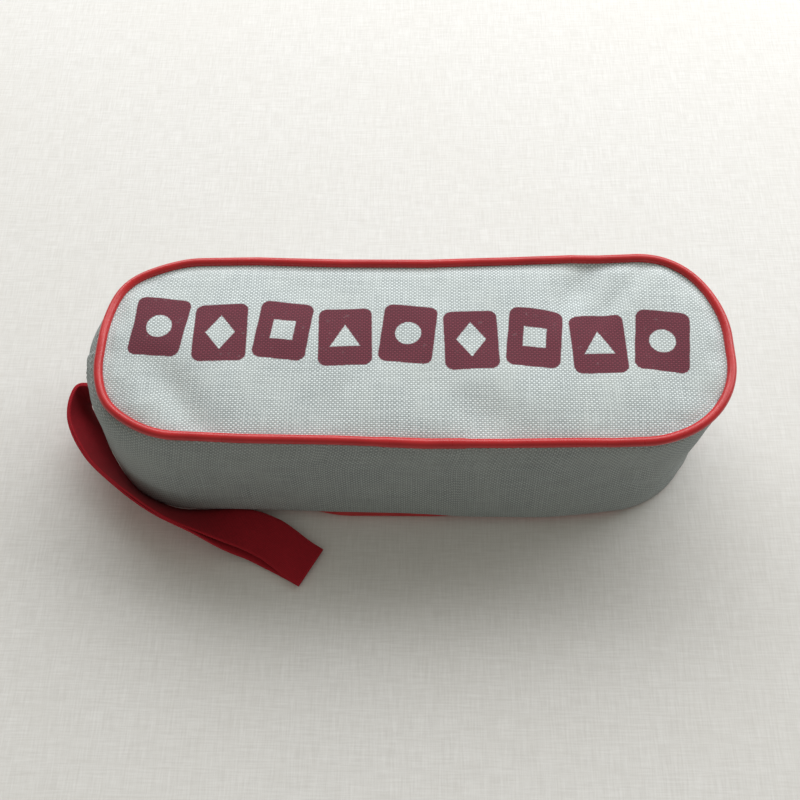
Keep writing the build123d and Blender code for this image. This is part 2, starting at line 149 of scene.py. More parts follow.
def monotone(x, xs, ys):
    """Cubic interpolation through the points without overshoot; ys may be a table by column."""
    xs = np.asarray(xs, float)
    ys = np.asarray(ys, float)
    slope = np.diff(ys, axis=0) / np.diff(xs).reshape((-1,) + (1,) * (ys.ndim - 1))
    d = np.zeros_like(ys)
    before, after = slope[:-1], slope[1:]
    d[1:-1] = np.where(before * after > 0, 2 * before * after / (before + after + 1e-12), 0)
    i = np.clip(np.searchsorted(xs, x) - 1, 0, len(xs) - 2)
    h = xs[i + 1] - xs[i]
    t = (x - xs[i]) / h
    shape = t.shape + (1,) * (ys.ndim - 1)
    t = t.reshape(shape)
    h = h.reshape(shape)
    return ((1 + 2 * t) * (1 - t) ** 2 * ys[i] + t * (1 - t) ** 2 * h * d[i]
            + t * t * (3 - 2 * t) * ys[i + 1] + t * t * (t - 1) * h * d[i + 1])


# The same tables at finer heights
WALL_HEIGHT = 62
STEPS_PER_MM = 2
WALL_FINE = np.linspace(0, WALL_HEIGHT, WALL_HEIGHT * STEPS_PER_MM + 1)
WALL_INSIDE = np.clip(WALL_FINE, WALL_ROWS[0], WALL_ROWS[-1])
WALL_TABLE = np.array([monotone(WALL_INSIDE, WALL_ROWS, v) for _, v in WALL_PLACES])
WALL_REAR = monotone(WALL_INSIDE, WALL_ROWS, REAR_LOW)


def wall_out(run, z):
    """How far the wall's outer face stands from the piping centre line of the frame."""
    p, n = ring(run)
    x, y = p[..., 0], p[..., 1]
    along = np.mod(np.asarray(run, float) - FRONT_START, ROUND)
    front = along <= FRONT_RUN
    past = np.where(front, 0, np.minimum(along - FRONT_RUN, ROUND - along))
    past_right = ~front & (along - FRONT_RUN < ROUND - along)
    place = np.where(front, along, np.where(past_right, FRONT_RUN, 0.0))
    columns = monotone(np.clip(place.ravel(), 0, FRONT_RUN), [v for v, _ in WALL_PLACES], WALL_TABLE)
    level = np.clip(z, 0, WALL_HEIGHT).ravel() * STEPS_PER_MM
    low = np.clip(level.astype(int), 0, len(WALL_FINE) - 2)
    f = level - low
    index = np.arange(len(level))
    table = (columns[index, low] * (1 - f) + columns[index, low + 1] * f).reshape(z.shape)
    rear = (WALL_REAR[low] * (1 - f) + WALL_REAR[low + 1] * f).reshape(z.shape)
    rear = rear + smooth(46, 58.5, z) * (n @ TOP_SHIFT)
    swell = bump(z, 52.0, 4.6) * 3.4 + 0.6 * bump(z, 47.0, 3.0)
    rear = rear + np.where(past_right, 0.0, 1 - smooth(40, 95, past)) * swell
    out = table + (rear - table) * smooth(0, 26, past)
    belly = np.sin(np.pi * np.clip((z - LOW_Z) / (TOP_Z - LOW_Z), 0, 1))
    face = 1 - smooth(-6, 14, y)
    crease = (x - 97) * 0.64 + (z - 26) * 0.77
    right = smooth(84, 104, x) * (1 - smooth(122, 131, x)) * (1 - smooth(-22, -4, y))
    out = out + right * (-1.5 * bump(crease, 0, 2.6) + 0.9 * bump(crease, 5.5, 3.6)) * belly
    out = out + face * belly * (0.35 * np.sin(x / 23 + z / 31 + 0.5) + 0.22 * np.sin(x / 9.7 - z / 12)
                                + 0.14 * np.sin(x / 4.6 + z / 6.5 + 1.0))
    out = out - face * 0.35 * bump(x + 0.9 * (z - 34), -84, 8) * belly
    out = out - face * 0.7 * bump(x - 0.8 * (z - 24), 12, 7) * belly
    return out


# Shift in y of the top edge from its even line: x, then the front edge's and the back edge's
BOW = ((-105, 1.2, 0.5), (-93, 1.2, 0.6), (-68, 0.0, 0.9), (-31, -0.5, -0.6), (6, -1.9, -1.4),
       (43, -1.3, -0.6), (68, -1.1, 0.6), (80, -1.1, 0.1), (105, 0.2, 0.3))
# Corners pushed out: side in x and in y, how far, then the bearing and its spread in degrees
CORNER_PUSH = ((-1, 1, 3.0, 40, 20), (1, 1, 1.7, 62, 28), (-1, -1, 0.9, 35, 16))


def edge_push(x, y):
    """Shift in x and y of the top edge; it fades towards the panel's middle."""
    dx = np.zeros_like(x)
    place, front, back = zip(*BOW)
    dy = np.interp(x, place, front) * smooth(4, 42, -y) + np.interp(x, place, back) * smooth(4, 42, y)
    for side_x, side_y, far, bearing, spread in CORNER_PUSH:
        right = (x * side_x - STRAIGHT_X).clip(0)
        up = (y * side_y - STRAIGHT_Y).clip(0)
        reach = np.hypot(right, up)
        angle = np.degrees(np.arctan2(up, right))
        amount = far * bump(angle, bearing, spread) * np.clip(reach / CORNER, 0, 1) ** 2
        dx += side_x * amount * right / reach.clip(0.1)
        dy += side_y * amount * up / reach.clip(0.1)
    return dx, dy


def lean(p):
    """The top sits a little back and to the right of the base."""
    out = np.array(p, float)
    share = smooth(46, 58, p[..., 2])
    dx, dy = edge_push(p[..., 0], p[..., 1])
    out[..., 0] += (TOP_SHIFT[0] + dx) * share
    out[..., 1] += (TOP_SHIFT[1] + dy) * share
    return out


def droop_at(x, y):
    """How far the top edge hangs at a place."""
    fall = 1.0 * (np.clip(np.abs(x) - 70, 0, None) / 60) ** 2
    back = smooth(0, 36, y)
    return (fall + 0.4 * bump(x, 70, 16) * back + 2.2 * (1 - smooth(-70, 60, x)) * back
            - 1.3 * bump(x, 104, 24) * back + 0.5 * bump(x, 40, 16) * smooth(-10, -40, y))


def droop(p):
    """Lowers the top edge where it hangs."""
    out = np.array(p, float)
    out[..., 2] -= smooth(44, 60, p[..., 2]) * droop_at(p[..., 0], p[..., 1])
    return out


def cloth_shape(p):
    """The even shape's points, moved to where the real cloth stands."""
    return lean(droop(p))


def wall_point(run, z, out=0.0):
    """A point on the outer face of the wall, moved out by the given amount."""
    run, z, out = np.broadcast_arrays(np.asarray(run, float), np.asarray(z, float), np.asarray(out, float))
    p, n = ring(run)
    d = wall_out(run, z) + out
    slide = TOP_SHIFT * smooth(40, 58, z)[..., None]
    slide = slide - n * (slide * n).sum(-1, keepdims=True)
    push = np.stack(edge_push(p[..., 0], p[..., 1]), -1) * smooth(38, 58, z)[..., None]
    q = p + n * d[..., None] + slide + push
    return droop(np.concatenate([q, z[..., None]], -1))


def top_height(x, y, near):
    """Height of the top panel; near is 1 at the piping and 0 at the middle."""
    z = TOP_Z + 1.7 * (1 - near ** 3.0) - 0.55 * bump(near, 0.95, 0.06) * smooth(-24, 4, y)
    z = z - 1.2 * near ** 7 * smooth(-6, -32, y)
    dents_hold = 1 - near ** 7
    dents = 3.6 * bump(x - 0.5 * (y - 30), 70, 8.5) * smooth(0, 30, y)
    dents = dents + 1.7 * bump(x - 0.8 * (y - 30), 92, 5.5) * smooth(-4, 26, y)
    dents = dents + 1.6 * bump(x + 0.3 * (y + 36), 30, 12) * smooth(-14, -33, y)
    dents = dents + 2.2 * bump(x + 0.5 * y, -108, 9) * smooth(2, -24, y)
    dents = dents + 0.7 * bump(x, -60, 26) * smooth(-10, -34, y)
    ripples = (0.30 * np.sin(x / 17.0 + 0.6) + 0.2 * np.sin(x / 9.0 + y / 8.0)
               + 0.12 * np.sin(x / 5.2 - y / 6.0))
    z = z - dents_hold * dents + (1 - near ** 4) * ripples
    z = z + 0.9 * bump(x, 62, 26) * bump(y, -20, 12) - 0.8 * bump(x, 112, 14) * smooth(0, 24, -y)
    turn = np.arctan2(y, (np.abs(x) - STRAIGHT_X).clip(0.1)) * CORNER
    end = smooth(88, 104, np.abs(x))
    return z + end * bump(near, 0.86, 0.1) * 0.28 * np.sin(turn / 3.4)


def new_object(name, verts, faces, uv=None, smooth_faces=True):
    """A mesh object from points and UV in millimetres."""
    mesh = bpy.data.meshes.new(name)
    points = [tuple(v * MM) for v in np.asarray(verts, float)]
    mesh.from_pydata(points, [], [tuple(int(i) for i in f) for f in faces])
    mesh.update()
    if uv is not None:
        layer = mesh.uv_layers.new(name="cloth")
        flat = np.array([l.vertex_index for l in mesh.loops])
        layer.data.foreach_set("uv", (np.asarray(uv, float)[flat] / UV_UNIT).astype(np.float32).ravel())
    if smooth_faces:
        mesh.polygons.foreach_set("use_smooth", [True] * len(mesh.polygons))
    obj = bpy.data.objects.new(name, mesh)
    bpy.context.scene.collection.objects.link(obj)
    return obj


def grid_faces(rows, columns, closed=False):
    """Faces of a grid of points stored row by row; closed joins the last column to the first."""
    faces = []
    last = columns if closed else columns - 1
    for r in range(rows - 1):
        for c in range(last):
            d = (c + 1) % columns
            a = r * columns
            faces.append((a + c, a + d, a + columns + d, a + columns + c))
    return faces


def bake_modifiers(obj):
    """Applies the modifiers, so the mesh is final."""
    bpy.context.view_layer.update()
    graph = bpy.context.evaluated_depsgraph_get()
    mesh = bpy.data.meshes.new_from_object(obj.evaluated_get(graph))
    old = obj.data
    obj.modifiers.clear()
    obj.data = mesh
    bpy.data.meshes.remove(old)
    return obj


def solidify(obj, thickness, offset=-1.0, even=True):
    """Gives a sheet its thickness: inward, or to both sides with an offset of 0."""
    m = obj.modifiers.new("thickness", "SOLIDIFY")
    m.thickness = thickness * MM
    m.offset = offset
    m.use_even_offset = even
    return bake_modifiers(obj)


def finish_piece(obj, material):
    """Sets the piece's one material."""
    obj.data.materials.clear()
    obj.data.materials.append(material)
    return obj


# Materials
class Nodes:
    """Short calls for one material's node tree."""

    def __init__(self, name):
        self.material = bpy.data.materials.new(name)
        self.material.use_nodes = True
        self.tree = self.material.node_tree
        self.tree.nodes.clear()
        self.shader = self.tree.nodes.new("ShaderNodeBsdfPrincipled")
        out = self.tree.nodes.new("ShaderNodeOutputMaterial")
        self.tree.links.new(self.shader.outputs[0], out.inputs[0])

    def node(self, kind, **values):
        n = self.tree.nodes.new(kind)
        for key, value in values.items():
            setattr(n, key, value)
        return n

    def put(self, target, value):
        if isinstance(value, bpy.types.NodeSocket):
            self.tree.links.new(value, target)
        else:
            target.default_value = value

    def set(self, name, value):
        """Puts a value or a link on an input of the material's shader."""
        self.put(self.shader.inputs[name], value)

    def math(self, operation, a, b=0.0, c=0.0):
        n = self.node("ShaderNodeMath", operation=operation)
        for i, v in enumerate((a, b, c)):
            self.put(n.inputs[i], v)
        return n.outputs[0]

    def add(self, a, b):
        return self.math("ADD", a, b)

    def sub(self, a, b):
        return self.math("SUBTRACT", a, b)

    def mul(self, a, b):
        return self.math("MULTIPLY", a, b)

    def absolute(self, a):
        return self.math("ABSOLUTE", a)

    def mix(self, factor, a, b):
        n = self.node("ShaderNodeMix", data_type="RGBA")
        self.put(n.inputs[0], factor)
        self.put(n.inputs[6], a)
        self.put(n.inputs[7], b)
        return n.outputs[2]

    def noise(self, vector, scale, detail=3.0, rough=0.55):
        n = self.node("ShaderNodeTexNoise")
        self.put(n.inputs["Vector"], vector)
        self.put(n.inputs["Scale"], scale)
        self.put(n.inputs["Detail"], detail)
        self.put(n.inputs["Roughness"], rough)
        return n.outputs["Fac"]

    def uv(self):
        return self.node("ShaderNodeUVMap", uv_map="cloth").outputs[0]

    def position(self):
        return self.node("ShaderNodeTexCoord").outputs["Object"]

    def split(self, vector):
        n = self.node("ShaderNodeSeparateXYZ")
        self.put(n.inputs[0], vector)
        return n.outputs

    def join(self, x, y):
        n = self.node("ShaderNodeCombineXYZ")
        for i, v in enumerate((x, y)):
            self.put(n.inputs[i], v)
        return n.outputs[0]

    def ramp(self, value, low, high, to_low=0.0, to_high=1.0):
        n = self.node("ShaderNodeMapRange")
        for i, v in enumerate((value, low, high, to_low, to_high)):
            self.put(n.inputs[i], v)
        return n.outputs[0]

    def bump(self, height, strength, distance, normal=None):
        n = self.node("ShaderNodeBump")
        n.inputs["Strength"].default_value = strength
        n.inputs["Distance"].default_value = distance * MM
        self.put(n.inputs["Height"], height)
        if normal is not None:
            self.put(n.inputs["Normal"], normal)
        return n.outputs[0]


def rgba(r, g, b):
    return (r, g, b, 1.0)


def weave(n, pitch):
    """Plain weave on the cloth's own UV: thread height, weft-over cells, and thread counts both ways."""
    x, y, _ = n.split(n.uv())
    threads = UV_UNIT / pitch
    wander = n.noise(n.uv(), 0.4, 1.0)
    u = n.add(n.mul(x, threads / 1.15), n.mul(wander, 1.6))
    v = n.add(n.mul(y, threads), n.mul(wander, 1.2))
    across = n.absolute(n.math("SINE", n.mul(u, math.pi)))
    along = n.absolute(n.math("SINE", n.mul(v, math.pi)))
    parity = n.math("MODULO", n.add(n.math("FLOOR", u), n.math("FLOOR", v)), 2.0)
    parity = n.absolute(parity)
    weft = n.mul(n.math("POWER", across, 0.35), n.math("POWER", along, 0.8))
    warp = n.mul(n.math("POWER", across, 0.8), n.math("POWER", along, 0.35))
    height = n.add(n.mul(parity, weft), n.mul(n.sub(1.0, parity), n.mul(warp, 0.8)))
    return height, parity, u, v


def canvas(name, light, dark, pitch=0.86, soil=0.1, contrast=0.5, ink=None):
    """Coarse plain-weave canvas with slubs, soiled patches and dark gaps; ink adds a print over it."""
    n = Nodes(name)
    height, parity, u, v = weave(n, pitch)
    slub_u = n.noise(n.join(n.mul(u, 0.9), n.mul(v, 0.06)), 1.0, 2.0)
    slub_v = n.noise(n.join(n.mul(u, 0.06), n.mul(v, 0.9)), 1.0, 2.0)
    warp_cell = n.sub(1.0, parity)
    slub = n.add(n.mul(parity, slub_v), n.mul(warp_cell, slub_u))
    tone = n.sub(height, n.mul(warp_cell, contrast))
    tone = n.add(tone, n.mul(n.sub(slub, 0.5), 1.1))
    share = n.ramp(tone, -0.05, 0.95)
    colour = n.mix(share, rgba(*dark), rgba(*light))
    broad = n.noise(n.uv(), 0.35, 4.0, 0.6)
    stain = n.ramp(broad, 0.42, 0.75)
    soiled = tuple(c * k for c, k in zip(light, (0.84, 0.83, 0.78)))
    colour = n.mix(n.mul(stain, soil * 3), colour, rgba(*soiled))
    if ink is not None:
        mask, shade, deep = ink(n, height)
        colour = n.mix(mask, colour, n.mix(share, rgba(*deep), rgba(*shade)))
    n.set("Base Color", colour)
    n.set("Roughness", n.ramp(slub, 0.3, 0.8, 0.7, 0.9))
    n.set("Specular IOR Level", 0.25)
    fine = n.bump(height, 0.5, 0.25)
    n.set("Normal", n.bump(broad, 0.2, 1.0, fine))
    return n.material


# Print on the top panel: a row of game tiles with plain figures left open in them. It runs between the
# two places, and a tile's size is half its width, half its height and the radius of its corners.
PRINT_FROM, PRINT_TO = (-115.0, 8.0), (111.0, 0.5)
PRINT_TILES = 9
PRINT_PITCH = 26.2
PRINT_HALF_W, PRINT_HALF_H, PRINT_ROUND = 11.2, 14.2, 3.6


def tile_print(n, height):
    """Ink mask for the row of tiles, and the ink's light and dark colours."""
    x, y, _ = n.split(n.uv())
    x = n.mul(x, UV_UNIT)
    y = n.mul(y, UV_UNIT)
    middle = ((PRINT_FROM[0] + PRINT_TO[0]) / 2, (PRINT_FROM[1] + PRINT_TO[1]) / 2)
    slope = math.atan2(PRINT_TO[1] - PRINT_FROM[1], PRINT_TO[0] - PRINT_FROM[0])
    dx = n.sub(x, middle[0])
    dy = n.sub(y, middle[1])

    def distance(a, b):
        return n.math("SQRT", n.add(n.mul(a, a), n.mul(b, b)))

    def turned(px, py, sine, cosine):
        right = n.add(n.mul(px, cosine), n.mul(py, sine))
        up = n.sub(n.mul(py, cosine), n.mul(px, sine))
        return right, up

    right, up = turned(dx, dy, math.sin(slope), math.cos(slope))
    index = n.math("ROUND", n.math("DIVIDE", right, PRINT_PITCH))
    last = (PRINT_TILES - 1) / 2
    index = n.math("MAXIMUM", n.math("MINIMUM", index, last), -last)
    right = n.sub(right, n.mul(index, PRINT_PITCH))
    counted = n.add(index, last)
    odd = n.math("MODULO", counted, 2.0)
    sign = n.sub(n.mul(odd, 2.0), 1.0)
    up = n.add(up, n.mul(sign, 1.1))
    right, up = turned(right, up, n.mul(sign, 0.07), 0.9975)
    side = n.absolute(right)
    rise = n.absolute(up)
    over_x = n.math("MAXIMUM", n.sub(side, PRINT_HALF_W - PRINT_ROUND), 0.0)
    over_y = n.math("MAXIMUM", n.sub(rise, PRINT_HALF_H - PRINT_ROUND), 0.0)
    outside = n.sub(distance(over_x, over_y), PRINT_ROUND)

    # Four figures take turns: circle, diamond, square and triangle
    round_d = n.sub(distance(right, up), 5.4)
    diamond_d = n.sub(n.add(n.mul(side, 0.85), n.mul(rise, 0.62)), 5.2)
    square_d = n.sub(n.math("MAXIMUM", side, rise), 4.7)
    low = n.add(up, 1.4)
    slant = n.add(n.mul(side, 0.866), n.mul(low, 0.5))
    triangle_d = n.sub(n.math("MAXIMUM", slant, n.mul(low, -1.0)), 3.6)
    kind = n.math("MODULO", counted, 4.0)
    figure = 0.0
    for k, inside in enumerate((round_d, diamond_d, square_d, triangle_d)):
        here = n.math("COMPARE", kind, float(k), 0.5)
        figure = n.add(figure, n.mul(here, inside))
    ink = n.math("MAXIMUM", outside, n.mul(figure, -1.0))
    rag = n.mul(n.sub(n.noise(n.uv(), 12.0, 2.0), 0.5), 0.5)
    ink = n.add(ink, n.add(n.mul(n.sub(0.6, height), 0.35), rag))
    cover = n.ramp(ink, 0.12, -0.12)
    worn = n.ramp(n.noise(n.uv(), 3.0, 4.0, 0.7), 0.62, 0.82, 0.97, 0.72)
    return n.mul(cover, worn), (0.205, 0.026, 0.052), (0.10, 0.015, 0.030)


def vinyl(name, colour, shade):
    """Smooth bias piping: glossy, with fine cross creases and scuffed, paler streaks."""
    n = Nodes(name)
    x, y, _ = n.split(n.uv())
    crease = n.noise(n.join(n.mul(x, 6.0), n.mul(y, 0.8)), 1.0, 3.0)
    blotch = n.noise(n.uv(), 0.6, 3.0)
    tint = n.mix(n.ramp(blotch, 0.3, 0.7), rgba(*shade), rgba(*colour))
    scuffed = rgba(*[c * 0.7 + 0.12 for c in colour])
    tint = n.mix(n.mul(n.ramp(crease, 0.66, 0.85), 0.2), tint, scuffed)
    n.set("Base Color", tint)
    n.set("Roughness", n.ramp(crease, 0.3, 0.75, 0.26, 0.42))
    n.set("Specular IOR Level", 0.45)
    n.set("Normal", n.bump(crease, 0.2, 0.2))
    return n.material


def webbing(name, light, dark):
    """Ribbed strap webbing: fine crosswise ribs, lengthwise rows of warp and denser edges."""
    n = Nodes(name)
    x, y, _ = n.split(n.uv())
    wander = n.noise(n.uv(), 0.8, 2.0)
    rib = n.absolute(n.math("SINE", n.mul(n.add(n.mul(x, UV_UNIT / 0.62), wander), math.pi)))
    warp = n.absolute(n.math("SINE", n.mul(n.mul(y, UV_UNIT / 0.7), math.pi)))
    height = n.add(n.mul(rib, 0.6), n.mul(warp, 0.4))
    fuzz = n.noise(n.uv(), 7.0, 4.0, 0.65)
    broad = n.noise(n.uv(), 0.5, 3.0)
    tone = n.add(n.mul(height, 0.45), n.mul(fuzz, 0.5))
    tone = n.add(tone, n.mul(n.sub(broad, 0.5), 0.35))
    selvage = n.ramp(n.absolute(y), 0.86, 0.92)
    knot = n.mul(selvage, n.mul(rib, 0.35))
    share = n.ramp(n.add(tone, knot), 0.15, 0.95)
    n.set("Base Color", n.mix(share, rgba(*dark), rgba(*light)))
    n.set("Roughness", n.ramp(fuzz, 0.3, 0.7, 0.8, 0.95))
    n.set("Specular IOR Level", 0.12)
    n.set("Sheen Weight", 0.04)
    n.set("Normal", n.bump(n.add(height, n.mul(knot, 2.0)), 0.45, 0.2))
    return n.material


def plastic(name, colour, rough=0.35, coat=0.0, speck=0.05):
    """Moulded plastic with a faint grain and handled, duller patches."""
    n = Nodes(name)
    grain = n.noise(n.position(), 900.0, 3.0)
    broad = n.noise(n.position(), 60.0, 3.0)
    worn = tuple(min(1.0, c * 0.85 + 0.02) for c in colour)
    n.set("Base Color", n.mix(n.ramp(broad, 0.35, 0.7), rgba(*worn), rgba(*colour)))
    n.set("Roughness", n.ramp(broad, 0.3, 0.7, rough * 0.85, rough * 1.25))
    n.set("Coat Weight", coat)
    n.set("Normal", n.bump(grain, speck, 0.3))
    return n.material


def metal(name, colour, rough=0.35):
    """Brushed zip metal with fine scratches and worn, paler patches."""
    n = Nodes(name)
    scratch = n.noise(n.position(), 2500.0, 2.0)
    broad = n.noise(n.position(), 300.0, 3.0)
    worn = tuple(min(1.0, c * 1.25 + 0.05) for c in colour)
    n.set("Base Color", n.mix(n.ramp(broad, 0.5, 0.75), rgba(*colour), rgba(*worn)))
    n.set("Metallic", 1.0)
    n.set("Roughness", n.ramp(scratch, 0.3, 0.7, rough * 0.8, rough * 1.3))
    n.set("Normal", n.bump(scratch, 0.12, 0.1))
    return n.material


panel_cloth = canvas("panel_cloth", (0.87, 0.945, 0.965), (0.345, 0.39, 0.40), ink=tile_print, contrast=0.42)
lining = canvas("panel_lining", (0.72, 0.78, 0.78), (0.30, 0.34, 0.34), contrast=0.3)
# The cloth for the gusset, the rear bands and the end tabs is the panel's cloth with painted shade: its
# colours are about half as light as the panel's, to darken the walls as shade would.
gusset_cloth = canvas("gusset_cloth", (0.48, 0.520, 0.527), (0.192, 0.212, 0.213), contrast=0.35)
base_cloth = canvas("base_cloth", (0.58, 0.61, 0.59), (0.23, 0.25, 0.24), soil=0.25, contrast=0.35)
tape_cloth = canvas("tape_cloth", (0.47, 0.5, 0.5), (0.24, 0.26, 0.26), 0.5, contrast=0.2)
thread = canvas("thread", (0.66, 0.69, 0.67), (0.34, 0.36, 0.35), 0.3, contrast=0.2)
red_vinyl = vinyl("red_vinyl", (0.57, 0.023, 0.027), (0.46, 0.015, 0.019))
strap_cloth = webbing("strap_cloth", (0.51, 0.022, 0.036), (0.18, 0.008, 0.014))
ivory = plastic("ivory", (0.80, 0.745, 0.60), 0.28, 0.2, 0.04)
rack_blue = plastic("rack_blue", (0.045, 0.12, 0.28), 0.42, 0.0, 0.12)
teeth_plastic = plastic("teeth_plastic", (0.42, 0.44, 0.44), 0.4, 0.0, 0.1)
zip_steel = metal("zip_steel", (0.6, 0.6, 0.58), 0.3)
slider_metal = metal("slider_metal", (0.55, 0.56, 0.56), 0.32)


# Cloth sheets and cords
def weld(obj, up=None):
    """Joins doubled points and turns the faces outward; up is 1 or -1 where a disc looks up or down."""
    bm = bmesh.new()
    bm.from_mesh(obj.data)
    bmesh.ops.remove_doubles(bm, verts=bm.verts, dist=0.02 * MM)
    bmesh.ops.recalc_face_normals(bm, faces=bm.faces)
    if up is not None:
        tip = max(bm.faces, key=lambda f: f.calc_center_median().z * up)
        if tip.normal.z * up < 0:
            bmesh.ops.reverse_faces(bm, faces=bm.faces)
    bm.to_mesh(obj.data)
    bm.free()
    return obj


DISC_COLUMNS = 420
DISC_RUNS = np.arange(DISC_COLUMNS) / DISC_COLUMNS * ROUND


def disc_rows(steps, edge, height, sides):
    """Rows of points from the panel's long core out to its edge, then down or up its rim."""
    p, n = ring(DISC_RUNS)
    rim = p + n * edge
    core = np.stack([np.clip(p[:, 0], -STRAIGHT_X - 6, STRAIGHT_X + 6) * 0.98, np.zeros(DISC_COLUMNS)], -1)
    rows = []
    flat = []
    for t in steps:
        q = core + (rim - core) * t
        rows.append(np.concatenate([q, height(q[:, 0], q[:, 1], np.full(DISC_COLUMNS, t))[:, None]], -1))
        flat.append(q)
    for out, z, spread in sides:
        rows.append(np.concatenate([p + n * out, np.full((DISC_COLUMNS, 1), z)], -1))
        flat.append(p + n * spread)
    return np.array(rows), np.array(flat).reshape(-1, 2)


def disc_object(name, rows, flat, up):
    """A welded disc of cloth from its rows of points."""
    faces = grid_faces(len(rows), DISC_COLUMNS, closed=True)
    return weld(new_object(name, rows.reshape(-1, 3), faces, flat), up)


def build_top():
    """The top panel, with its edge turned down inside the piping."""
    steps = list(np.linspace(0, 0.9, 30)) + [0.915, 0.93, 0.945, 0.96, 0.975, 0.988, 1.0]
    edge_rows = ((-1.95, 58.6, 0.0), (-2.2, 56.6, 2.0), (-2.4, 53.6, 5.0))
    rows, flat = disc_rows(steps, -1.5, top_height, edge_rows)
    return solidify(disc_object("top_cloth", cloth_shape(rows), flat, 1), 0.8, even=False)


def wall_sheet(name, first, last, heights, out=0.0, step=1.8, thickness=0.9, edge=None, hem=None):
    """A strip of wall between two runs, through the given heights, as thin cloth."""
    columns = int((last - first) / step) + 1
    runs = np.linspace(first, last, columns)
    run, z = np.meshgrid(runs, heights)
    lift = np.zeros_like(run) + out
    if edge is not None:
        lift = lift + edge(run, z)
    if hem is not None:
        z = z + hem(run, z)
    points = wall_point(run, z, lift)
    rise = np.linalg.norm(np.diff(points, axis=0), axis=-1)
    rise = np.concatenate([np.zeros((1, columns)), np.cumsum(rise, axis=0)]) + heights[0]
    uv = np.stack([run, rise], -1).reshape(-1, 2)
    obj = new_object(name, points.reshape(-1, 3), grid_faces(len(heights), columns), uv)
    return solidify(obj, thickness)


def tube(name, path, radius):
    """A closed ring of round cord along points, with UV that runs along it."""
    sides = 14
    count = len(path)
    ahead = unit(np.roll(path, -1, 0) - np.roll(path, 1, 0))
    side = unit(np.cross(ahead, np.array([0, 0, 1.0])))
    rise = np.cross(side, ahead)
    radius = np.broadcast_to(radius, (count,))
    run = run_along(path)
    verts = []
    uv = []
    for k in range(sides):
        a = 2 * math.pi * k / sides
        verts.append(path + side * (np.cos(a) * radius)[:, None] + rise * (np.sin(a) * radius)[:, None])
        uv.append(np.stack([run, np.full(count, a * 2.0)], -1))
    faces = []
    for k in range(sides):
        after = (k + 1) % sides
        for c in range(count):
            d = (c + 1) % count
            faces.append((k * count + c, k * count + d, after * count + d, after * count + c))
    obj = new_object(name, np.array(verts).reshape(-1, 3), faces, np.array(uv).reshape(-1, 2))
    return weld(obj)


# Top panel, one cloth across the fold, with its lining on the faces that look down
top_cloth = build_top()
finish_piece(top_cloth, panel_cloth)
top_cloth.data.materials.append(lining)
for face in top_cloth.data.polygons:
    if face.normal.z < 0:
        face.material_index = 1
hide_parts("top_panel_front", "top_panel_flap")

# Front gusset: its ends are folded under and lap over the zip band. Two rows of stitches hold each end.
LAP = 4.5
SEAM_ROWS = (2.4, 5.8)
STITCH_HIGH = 56.6
STITCH_PITCH = 3.2
front_first = FRONT_START + LAP
front_last = FRONT_START + FRONT_RUN


def lapped(run, z):
    """How far the gusset stands out near its lapped ends and pulls in at the stitches."""
    near = np.minimum(run - front_first, front_last - run)
    pulled = 0.3 * (bump(near, SEAM_ROWS[0], 0.7) + bump(near, SEAM_ROWS[1], 0.7))
    return 1.0 * (1 - smooth(5.0, 12.0, near)) - pulled - 0.35 * bump(z, STITCH_HIGH, 0.9)


def hem_window(x):
    """Where the front hem rides up and lets the base piping show."""
    return smooth(-40, -32, x) * (1 - smooth(18, 26, x))


def lifted_hem(run, z):
    """How far the foot of the gusset rides up."""
    x = ring(run)[0][..., 0]
    return 3.3 * hem_window(x) * np.clip((7.0 - z) / 6.3, 0, 1)


WALL_END = 58.4
front_heights = np.array([0.7, 1.6, 2.8, 4.2] + list(np.linspace(6, 57.4, 34)) + [WALL_END])
# The front gusset's cloth carries painted shade.
gusset = wall_sheet("front_gusset_cloth", front_first, front_last, front_heights, step=1.5,
                    edge=lapped, hem=lifted_hem)
finish_piece(gusset, gusset_cloth)
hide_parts("front_gusset")

rear_first = FOLD_Y - 7.0
rear_last = RUN_LEFT_MIDDLE - FOLD_Y + 9.0
# The rear bands carry the same painted shade.
band_low = wall_sheet("rear_lower_cloth", rear_first, rear_last, np.linspace(4.15, ZIP_Z - WINDOW, 24))
finish_piece(band_low, gusset_cloth)
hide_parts("rear_lower_band")
band_high = wall_sheet("rear_upper_cloth", rear_first, rear_last, np.linspace(ZIP_Z + WINDOW, WALL_END, 14))
finish_piece(band_high, gusset_cloth)
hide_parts("rear_upper_band")


# Stitches: short threads pulled into the cloth. Their cross sections: place, fatness and depth.
STITCH_LENGTH = 2.3
STITCH_WIDTH = 0.55
STITCH_RINGS = ((-1.0, 0.0, -0.35), (-0.72, 0.75, -0.1), (-0.25, 1.0, 0.12),
                (0.25, 1.0, 0.12), (0.72, 0.75, -0.1), (1.0, 0.0, -0.35))


